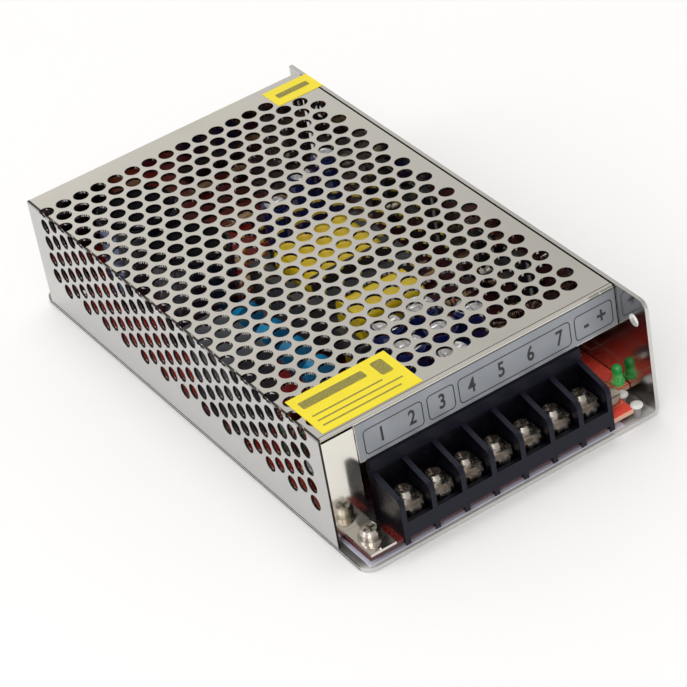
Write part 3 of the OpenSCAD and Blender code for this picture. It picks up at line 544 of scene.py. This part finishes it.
outlined = [(83.2, 90.0, 5.5, 10.2), (84.0, 92.0, 13.0, 36.0), (92.4, 96.3, 11.6, 15.8), (73.6, 95.4, 31.0, 54.0),
            (40.4, 71.6, 59.0, 78.2), (36.0, 76.0, 78.6, 112.0), (3.6, 17.4, 65.2, 93.0), (60.4, 81.0, 145.6, 154.6)]
outlines = mesh_object("board_outlines", *join(part_outline(*sides) for sides in outlined), smooth=False)
dress(silk, outlines)
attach(outlines, "case")

# ---- Sheet, spacers and posts under the board ----
# A pale lavender plastic film keeps the solder side off the base; two white nylon pins hold it in the front corner.
sheet_film = Finish("lavender_film", (0.74, 0.73, 0.88), 0.42, Coat_Weight=0.2, Coat_Roughness=0.3)
sheet_film.mottle(90, (0.68, 0.67, 0.83), 0.4, 0.8).vary("Roughness", sheet_film.noise(260), 0.32, 0.55)
sheet_film.bump(sheet_film.noise(150, 2), 0.05 * MM, 0.5)
dress(sheet_film, "insulating_sheet")
nylon = Finish("nylon", (0.86, 0.86, 0.83), 0.42)
nylon.mottle(500, (0.72, 0.72, 0.68), 0.45, 0.8).vary("Roughness", nylon.noise(600), 0.35, 0.55)
# Painted shade: the posts are darker below the board's top.
nylon.blend(nylon.along("Z", board_high.z, -0.1, 0.05, 0.85, 0), (0.16, 0.15, 0.155))
nylon.bump(nylon.noise(900), 0.04 * MM, 0.5)
dress(nylon, "nylon_posts")

# ---- Trimmer and lamp at the front right corner ----
# The trimmer is an amber moulded block with an ivory rotor; the lamp is clear green epoxy, a paler green towards its
# foot, with a faint painted glow.
amber = Finish("trimmer_amber", (0.30, 0.085, 0.03), 0.36, Coat_Weight=0.2, Coat_Roughness=0.2)
amber.mottle(500, (0.50, 0.17, 0.05), 0.4, 0.75).vary("Roughness", amber.noise(800), 0.28, 0.48)
amber.bump(amber.noise(1200), 0.04 * MM, 0.5)
dress(amber, "trimmer_body")
ivory = Finish("rotor_ivory", (0.30, 0.275, 0.235), 0.4)
ivory.mottle(700, (0.52, 0.42, 0.30), 0.42, 0.75).vary("Roughness", ivory.noise(900), 0.32, 0.52)
ivory.bump(ivory.noise(1500), 0.03 * MM, 0.5)
dress(ivory, "trimmer_rotor")
green = Finish("lamp_green", (0.005, 0.30, 0.05), 0.1, Transmission_Weight=0.15, IOR=1.5, Coat_Weight=0.6,
               Coat_Roughness=0.05)
lamp_low, _ = box("status_led")
# The lamp's lower part is a paler green, with darker green specks.
lamp_lower_part = green.along("Z", lamp_low.z, 3.0, 4.2, 1, 0)
green.blend(lamp_lower_part, (0.16, 0.66, 0.20))
green.blend(green.times(lamp_lower_part, green.span(green.noise(1600, 2), 0.52, 0.62, 0, 1)), (0.03, 0.34, 0.07))
# Painted light: a faint green glow in the epoxy.
green.put("Emission Color", (0.04, 0.5, 0.08, 1))
green.put("Emission Strength", 0.12)
green.vary("Roughness", green.noise(700), 0.06, 0.2).bump(green.noise(900), 0.05 * MM, 0.4)
dress(green, "status_led")

# ---- Transformers: yellow polyester tape over the windings, black ferrite cores, black bobbins ----
# Tape is wound in flat turns with fine edges and a slight sheen; sintered ferrite is dark, gritty and dull.
tape = Finish("winding_tape", (0.86, 0.64, 0.01), 0.28, Coat_Weight=0.35, Coat_Roughness=0.12)
tape.mottle(120, (0.75, 0.50, 0.01), 0.45, 0.8)
laps = tape.noise(160, 2, (0.1, 0.1, 3.0))
tape.vary("Roughness", laps, 0.2, 0.42).bump(laps, 0.18 * MM, 0.6).bump(tape.noise(90, 2), 0.4 * MM, 0.4)
dress(tape, "transformer_winding", "driver_winding")
ferrite = Finish("ferrite", (0.045, 0.045, 0.05), 0.55)
ferrite.mottle(1500, (0.09, 0.09, 0.095), 0.5, 0.75).vary("Roughness", ferrite.noise(900), 0.45, 0.7)
ferrite.bump(ferrite.noise(2500, 3), 0.05 * MM, 0.7)
dress(ferrite, "transformer_core", "driver_core")
black = Finish("black_plastic", (0.015, 0.015, 0.018), 0.42)
black.mottle(500, (0.03, 0.03, 0.034), 0.45, 0.75).vary("Roughness", black.noise(900), 0.32, 0.55)
black.bump(black.noise(1500), 0.04 * MM, 0.5)
dress(black, "transformer_bobbin", "bridge_rectifier", "power_transistors", "control_chip")

# ---- Capacitors: aluminium cans in shrink sleeves, blue dipped discs, one grey moulded box ----
# A sleeve leaves the can's top bare, pressed with a cross-shaped vent.
# It has a pale stripe with dashes on the negative side; the two large cans' tops are drawn near black and barely
# glossy.
sleeve = Finish("navy_sleeve", (0.014, 0.022, 0.13), 0.25, Coat_Weight=0.4, Coat_Roughness=0.1)
sleeve.mottle(200, (0.02, 0.035, 0.19), 0.4, 0.8).vary("Roughness", sleeve.noise(400), 0.18, 0.36)
sleeve.bump(sleeve.noise(260, 2), 0.05 * MM, 0.5)
dress(sleeve, "aux_capacitors", *[f"output_capacitor_{i}" for i in range(1, 7)])
dark_sleeve = Finish("dark_sleeve", (0.006, 0.006, 0.012), 0.3, Coat_Weight=0.15, Coat_Roughness=0.15)
dark_sleeve.mottle(160, (0.012, 0.013, 0.024), 0.4, 0.8).vary("Roughness", dark_sleeve.noise(400), 0.18, 0.36)
dark_sleeve.bump(dark_sleeve.noise(200, 2), 0.06 * MM, 0.5)
dress(dark_sleeve, "bulk_capacitor_1", "bulk_capacitor_2")
can_metal = Finish("can_aluminium", (0.70, 0.71, 0.73), 0.3, metal=1.0)
can_metal.mottle(300, (0.55, 0.56, 0.58), 0.45, 0.8).vary("Roughness", can_metal.noise(900, 3), 0.22, 0.42)
can_metal.bump(can_metal.noise(1200), 0.03 * MM, 0.5)


def round_angles(n):
    """Angles of n equal steps once round."""
    return np.linspace(0, 2 * np.pi, n, endpoint=False)


def can_top(x, y, z, r, rings=14, spokes=48):
    """A disc as radius against angle: its height falls by a V groove along both axes and rises at the rolled rim."""
    groove, groove_end, rim_height, rim_at, rim_width = 0.25 * MM, 0.72 * r, 0.30 * MM, 0.93, 0.05
    radius, angle = np.meshgrid(np.linspace(0.02, 1, rings) * r, round_angles(spokes), indexing="ij")
    px, py = radius * np.cos(angle), radius * np.sin(angle)
    off = np.minimum(np.abs(px), np.abs(py))
    dip = -groove * np.clip(1 - off / (0.07 * r + groove), 0, 1) * (radius < groove_end)
    rim = rim_height * np.exp(-((radius / r - rim_at) / rim_width) ** 2)
    faces = [*grid_faces(rings, spokes, wrap=True), tuple(range(spokes))]
    return np.stack([x + px, y + py, z + 0.3 * MM + dip + rim], -1).reshape(-1, 3), faces


# Each can's place from the case's front left corner, its radius and its height over the board, in mm.
cans = [(24, 121, 12.5, 30), (23, 149, 12.5, 30), (47, 53, 5, 25), (58.5, 53.8, 5, 25), (46, 41, 5, 25),
        (57.5, 42, 5, 25), (68.5, 43, 5, 25), (53, 29.5, 5, 25), (72, 136, 4, 24), (83, 140, 4, 24),
        (58, 128.75, 4, 24)]
tops = [can_top(*part_point(x, y), board_high.z + h * MM, (r - 0.9) * MM) for x, y, r, h in cans]
bulk_tops = mesh_object("bulk_tops", *join(tops[:2]))
cap_black = Finish("cap_black", (0.0008, 0.0008, 0.0025), 0.5, Specular_IOR_Level=0.06)
cap_black.mottle(400, (0.002, 0.002, 0.006), 0.5, 0.8).vary("Roughness", cap_black.noise(700), 0.42, 0.6)
cap_black.bump(cap_black.noise(1100), 0.03 * MM, 0.4)
dress(cap_black, bulk_tops)
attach(bulk_tops, "case")
can_tops = mesh_object("can_tops", *join(tops[2:]))
dress(can_metal, can_tops)
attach(can_tops, "case")
stripe_ink = Finish("stripe_ink", (0.14, 0.19, 0.32), 0.3, Coat_Weight=0.3, Coat_Roughness=0.15)
dashes_a_metre = 160
dash = stripe_ink.math("FRACT", stripe_ink.times(stripe_ink.axis("Z"), dashes_a_metre))
stripe_ink.blend(stripe_ink.span(dash, 0.55, 0.6, 0, 1), (0.02, 0.03, 0.10))
stripe_ink.vary("Roughness", stripe_ink.noise(400), 0.22, 0.4)


def can_stripe(x, y, z0, z1, r, middle, half=0.32, steps=12):
    """A band of a cylinder: height against angle, half an angle each side of its middle."""
    height, angle = np.meshgrid([z1, z0], np.linspace(middle - half, middle + half, steps), indexing="ij")
    return np.stack([x + r * np.cos(angle), y + r * np.sin(angle), height], -1).reshape(-1, 3), grid_faces(2, steps)


first_turn, next_turn = 2.4, 0.9  # no two cans stand the same way round
bands = [can_stripe(*part_point(x, y), board_high.z + 4.6 * MM, board_high.z + (h - 1) * MM, (r + 0.03) * MM,
                    first_turn + next_turn * i) for i, (x, y, r, h) in enumerate(cans)]
stripes = mesh_object("can_stripes", *join(bands))
dress(stripe_ink, stripes)
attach(stripes, "case")
blue = Finish("disc_blue", (0.01, 0.36, 0.72), 0.26, Coat_Weight=0.4, Coat_Roughness=0.1)
blue.mottle(220, (0.01, 0.28, 0.62), 0.4, 0.8).vary("Roughness", blue.noise(300), 0.18, 0.36)
blue.bump(blue.noise(240, 2), 0.25 * MM, 0.6)
dress(blue, "disc_capacitors")
slate = Finish("box_slate", (0.045, 0.05, 0.062), 0.42)
slate.mottle(260, (0.065, 0.07, 0.085), 0.42, 0.75).vary("Roughness", slate.noise(600), 0.34, 0.52)
slate.bump(slate.noise(1400), 0.04 * MM, 0.5)
dress(slate, "x_capacitor")

# ---- Chokes: enamelled copper wire wound by hand round ring cores ----
# One wire passes through the ring and over its edge for every turn.
# The line choke has two windings with a gap at each end; the output choke lies in the case's shade and is darker.
enamel = Finish("enamel_copper", (0.26, 0.075, 0.035), 0.25, metal=0.75, Coat_Weight=0.5, Coat_Roughness=0.1)
enamel.mottle(400, (0.18, 0.045, 0.02), 0.4, 0.75).vary("Roughness", enamel.noise(900), 0.18, 0.34)
enamel.blend(enamel.along("X", 0, 20, 24, 0, 0.85), (0.05, 0.02, 0.022))
enamel.bump(enamel.noise(1200), 0.02 * MM, 0.4)


def tube(path, radius, sides=6):
    """A round wall carried along a path: at each point a circle square to the direction to its neighbours."""
    ahead = np.gradient(path, axis=0)
    ahead /= np.linalg.norm(ahead, axis=1, keepdims=True)
    hint = np.where(np.abs(ahead[:, 2:3]) > 0.9, [[1.0, 0, 0]], [[0, 0, 1.0]])
    across = np.cross(ahead, hint)
    across /= np.linalg.norm(across, axis=1, keepdims=True)
    same_way = np.where(np.sum(across[1:] * across[:-1], axis=1) > 0, 1, -1)
    across[1:] *= np.cumprod(same_way)[:, None]
    up = np.cross(across, ahead)
    a = round_angles(sides)
    ring = np.cos(a)[None, :, None] * across[:, None] + np.sin(a)[None, :, None] * up[:, None]
    last = sides * len(path)
    caps = [tuple(range(sides)), tuple(range(last - 1, last - sides - 1, -1))]
    return (path[:, None] + radius * ring).reshape(-1, 3), [*grid_faces(len(path), sides, wrap=True), *caps]


def ring_wire(x, y, z, outer, inner, height, wire, turns, start, sweep):
    """A wire round a ring: as the turns run through an angle, it goes round a squared loop of the core's section."""
    steps_a_turn, squareness = 16, 0.55
    t = np.linspace(0, 1, turns * steps_a_turn + 1)
    loop = np.stack([np.cos(2 * np.pi * turns * t), np.sin(2 * np.pi * turns * t)])
    outward, upward = np.sign(loop) * np.abs(loop) ** squareness
    radius = (outer + inner) / 2 + ((outer - inner) / 2 + wire / 2) * outward
    lift = z + height / 2 + (height / 2 + wire / 2) * upward
    angle = start + sweep * t
    return np.stack([x + radius * np.cos(angle), y + radius * np.sin(angle), lift], 1)


def winding(name, node, x, y, sizes, runs):
    """The whole winding of one choke, which replaces its plain solid: sizes in mm, runs of (turns, start, sweep)."""
    outer, inner, height, wire = (size * MM for size in sizes)
    walls = [tube(ring_wire(*part_point(x, y), board_high.z + wire, outer, inner, height, wire, *run), wire / 2)
             for run in runs]
    o = mesh_object(name, *join(walls))
    dress(enamel, o)
    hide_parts(node)
    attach(o, "case")


winding("line_choke_wire", "line_choke_winding", 17, 53, (8.5, 4.5, 9, 1.0), [(12, 0.35, 2.45), (12, 3.5, 2.45)])
winding("output_choke_wire", "output_choke_winding", 84.8, 42, (9.0, 4.5, 11, 1.2), [(20, 3.8, 5.7)])
powder = Finish("core_coating", (0.07, 0.13, 0.08), 0.5)
powder.mottle(900, (0.10, 0.17, 0.10), 0.45, 0.75).vary("Roughness", powder.noise(700), 0.4, 0.62)
powder.bump(powder.noise(1500), 0.06 * MM, 0.5)
dress(powder, "line_choke_core")
khaki = Finish("core_khaki", (0.42, 0.36, 0.18), 0.5)
khaki.mottle(900, (0.50, 0.43, 0.23), 0.45, 0.75).vary("Roughness", khaki.noise(700), 0.4, 0.62)
khaki.bump(khaki.noise(1500), 0.06 * MM, 0.5)
dress(khaki, "output_choke_core")

# ---- Small parts on the board and on the side wall ----
# Thermistor, fuse in its clips, resistors with colour bands, and the grey pads under the power packages.
olive = Finish("thermistor_coat", (0.022, 0.026, 0.016), 0.45)
olive.mottle(500, (0.04, 0.045, 0.03), 0.45, 0.75).vary("Roughness", olive.noise(600), 0.35, 0.6)
olive.bump(olive.noise(500), 0.1 * MM, 0.5)
dress(olive, "thermistor")
glassy = Finish("fuse_glass", (0.30, 0.31, 0.31), 0.12, metal=0.6, Coat_Weight=0.6, Coat_Roughness=0.05)
glassy.mottle(300, (0.2, 0.21, 0.21), 0.45, 0.75).vary("Roughness", glassy.noise(500), 0.08, 0.24)
dress(glassy, "fuse")
brass = Finish("clip_brass", (0.72, 0.58, 0.30), 0.3, metal=1.0)
brass.mottle(500, (0.58, 0.44, 0.2), 0.45, 0.75).vary("Roughness", brass.noise(800), 0.22, 0.42)
brass.bump(brass.noise(900), 0.04 * MM, 0.5)
dress(brass, "fuse_clips")
silicone = Finish("pad_silicone", (0.52, 0.52, 0.52), 0.6)
silicone.mottle(900, (0.44, 0.44, 0.45), 0.45, 0.75).vary("Roughness", silicone.noise(900), 0.5, 0.7)
silicone.bump(silicone.noise(2200), 0.04 * MM, 0.5)
dress(silicone, "transistor_pads")
lacquer = Finish("resistor_lacquer", (0.52, 0.36, 0.20), 0.32, Coat_Weight=0.3, Coat_Roughness=0.12)
lacquer.mottle(900, (0.60, 0.44, 0.26), 0.45, 0.75).vary("Roughness", lacquer.noise(900), 0.25, 0.42)
lacquer.bump(lacquer.noise(1200), 0.04 * MM, 0.5)
dress(lacquer, "axial_parts")
# Each part's middle from the case's front left corner, and its diameter, in mm.
axial = [(44, 121.984, 3), (44, 126.52, 3), (44, 130.996, 2.4), (44, 150.021, 3), (44, 154.497, 2.4), (46, 140.95, 3),
         (48, 159.975, 3), (61, 159.975, 3), (76, 160.976, 4), (88.5, 148, 3), (88, 133, 3), (84, 77, 3),
         (84, 92, 3), (84, 100, 2.4), (84, 108, 3), (35.8, 61.5, 3)]


def colour_ring(x, y, z, r, width, steps=16):
    """A short cylinder round an axis along x: position along the axis against angle."""
    along, angle = np.meshgrid([x + width / 2, x - width / 2], round_angles(steps), indexing="ij")
    points = np.stack([along, y + r * np.cos(angle), z + r * np.sin(angle)], -1).reshape(-1, 3)
    return points, grid_faces(2, steps, wrap=True)


colour_code = (("bands_brown", (0.12, 0.03, 0.01), -2.2), ("bands_red", (0.45, 0.02, 0.01), -0.9),
               ("bands_gold", (0.55, 0.38, 0.1), 2.2))
for name, tint, offset in colour_code:
    rings = [colour_ring(*part_point(x + offset, y), board_high.z + d / 2 * MM, (d / 2 + 0.03) * MM, 0.7 * MM)
             for x, y, d in axial]
    ring_piece = mesh_object(name, *join(rings))
    band = Finish(name, tint, 0.3, Coat_Weight=0.3)
    band.mottle(900, tuple(c * 1.3 for c in tint), 0.45, 0.75).vary("Roughness", band.noise(900), 0.22, 0.4)
    dress(band, ring_piece)
    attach(ring_piece, "case")

bpy.context.view_layer.update()
